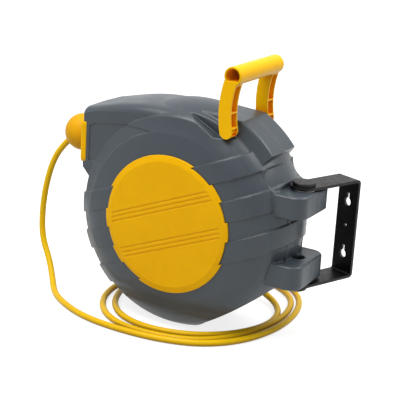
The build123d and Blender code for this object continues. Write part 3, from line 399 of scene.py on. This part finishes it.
def soft_rectangle(x, half, inset):
    """Outline of the plate at x, with rounded corners."""
    low, high = FLANGE_LOW + inset, FLANGE_HIGH - inset
    middle, rise = (low + high) / 2, (high - low) / 2
    loop = []
    for side, up in directions():
        reach = 1 / max(abs(side) / half, abs(up) / rise)
        y, z = reach * side, reach * up
        over_y, over_z = abs(y) - (half - FLANGE_CORNER), abs(z) - (rise - FLANGE_CORNER)
        if over_y > 0 and over_z > 0:
            away = (over_y ** 2 + over_z ** 2) ** 0.5
            y = (half - FLANGE_CORNER + over_y * FLANGE_CORNER / away) * (1 if y > 0 else -1)
            z = (rise - FLANGE_CORNER + over_z * FLANGE_CORNER / away) * (1 if z > 0 else -1)
        loop.append((x, y, middle + z))
    return loop


bore_loops = [round_loop(FLANGE_BACK, BORE)]
plate_loops = [soft_rectangle(*section) for section in PLATE]
collar_loops = [round_loop(*section) for section in COLLAR]
outlet = closed_band("outlet_flange", bore_loops + plate_loops + collar_loops)
outlet.data.materials.append(finishes["cover_yellow"])
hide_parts("outlet_flange")
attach(outlet, "housing")

# ---- joint line across the top of the lower lug -------------------------------------------------------------------
LUG_TOP, SEAM_Y = 0.129, -0.0352
SEAM_SUNK, SEAM_PROUD, SEAM_FLAT = 0.0002, 0.0001, 0.6  # depth of its edges, height and share of its flat crown
SEAM_HALVES = ((0.1535, 0.00015), (0.1550, 0.0004), (0.1620, 0.00055), (0.1700, 0.0006), (0.1780, 0.00055),
               (0.1850, 0.0005), (0.1885, 0.0004), (0.1895, 0.0002))  # x and half width


def seam_section(x, half):
    return [(x, SEAM_Y - half, LUG_TOP - SEAM_SUNK), (x, SEAM_Y - SEAM_FLAT * half, LUG_TOP + SEAM_PROUD),
            (x, SEAM_Y + SEAM_FLAT * half, LUG_TOP + SEAM_PROUD), (x, SEAM_Y + half, LUG_TOP - SEAM_SUNK)]


seam = closed_band("lug_joint", [seam_section(x, half) for x, half in SEAM_HALVES], capped=True)
seam.data.materials.append(finishes["black_plastic"])
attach(seam, "housing")

# ---- floor, backdrop and light ------------------------------------------------------------------------------------
FLOOR_REACH, FLOOR_GAP = 9, 0.0005
FLOOR_GREY, FLOOR_GLOW = 0.42, 0.8
WORLD_LIT, WORLD_SEEN = 0.45, 1.0


def seen_directly(tree):
    """1 for what the camera sees itself, in a reflection or through glass; 0 for light that falls on things."""
    path = tree.nodes.new("ShaderNodeLightPath")
    seen = path.outputs["Is Camera Ray"]
    for ray in ("Is Glossy Ray", "Is Transmission Ray"):
        larger = tree.nodes.new("ShaderNodeMath")
        larger.operation = "MAXIMUM"
        tree.links.new(seen, larger.inputs[0])
        tree.links.new(path.outputs[ray], larger.inputs[1])
        seen = larger.outputs[0]
    return seen


def softbox(name, place, aim, size, power):
    """Square area light at place, pointing at aim."""
    lamp = bpy.data.lights.new(name, "AREA")
    lamp.size = size
    lamp.energy = power
    holder = bpy.data.objects.new(name, lamp)
    holder.location = place
    holder.rotation_euler = (Vector(aim) - Vector(place)).to_track_quat("-Z", "Y").to_euler()
    scene.collection.objects.link(holder)


mesh = bpy.data.meshes.new("floor")
corners = [(x * FLOOR_REACH, y * FLOOR_REACH, 0) for x, y in ((-1, -1), (1, -1), (1, 1), (-1, 1))]
mesh.from_pydata(corners, [], [(0, 1, 2, 3)])
floor = bpy.data.objects.new("floor", mesh)
floor.location.z = cad_box[0][2] - FLOOR_GAP
scene.collection.objects.link(floor)

paper = bpy.data.materials.new("floor")
paper.use_nodes = True
tree = paper.node_tree
tree.nodes.clear()
diffuse = tree.nodes.new("ShaderNodeBsdfDiffuse")
diffuse.inputs["Color"].default_value = (FLOOR_GREY, FLOOR_GREY, FLOOR_GREY, 1)
level = tree.nodes.new("ShaderNodeMath")
level.operation = "MULTIPLY"
level.inputs[1].default_value = FLOOR_GLOW
glow = tree.nodes.new("ShaderNodeEmission")
total = tree.nodes.new("ShaderNodeAddShader")
output = tree.nodes.new("ShaderNodeOutputMaterial")
tree.links.new(seen_directly(tree), level.inputs[0])
tree.links.new(level.outputs[0], glow.inputs["Strength"])
tree.links.new(diffuse.outputs[0], total.inputs[0])
tree.links.new(glow.outputs[0], total.inputs[1])
tree.links.new(total.outputs[0], output.inputs["Surface"])
floor.data.materials.append(paper)

world = bpy.data.worlds.new("studio")
world.use_nodes = True
scene.world = world
background = world.node_tree.nodes["Background"]
background.inputs["Color"].default_value = (1, 1, 1, 1)
strength = world.node_tree.nodes.new("ShaderNodeMapRange")
strength.inputs["To Min"].default_value = WORLD_LIT
strength.inputs["To Max"].default_value = WORLD_SEEN
world.node_tree.links.new(seen_directly(world.node_tree), strength.inputs["Value"])
world.node_tree.links.new(strength.outputs[0], background.inputs["Strength"])

softbox("key", place=(-0.30, -0.75, 2.2), aim=(0, 0, 0.15), size=1.5, power=45)
softbox("fill", place=(-1.7, -1.3, 0.8), aim=(0, 0, 0.15), size=1.2, power=1.5)
softbox("rim", place=(1.15, 0.75, 1.8), aim=(0.05, 0, 0.2), size=1.0, power=22)

scene.view_settings.view_transform = "Standard"
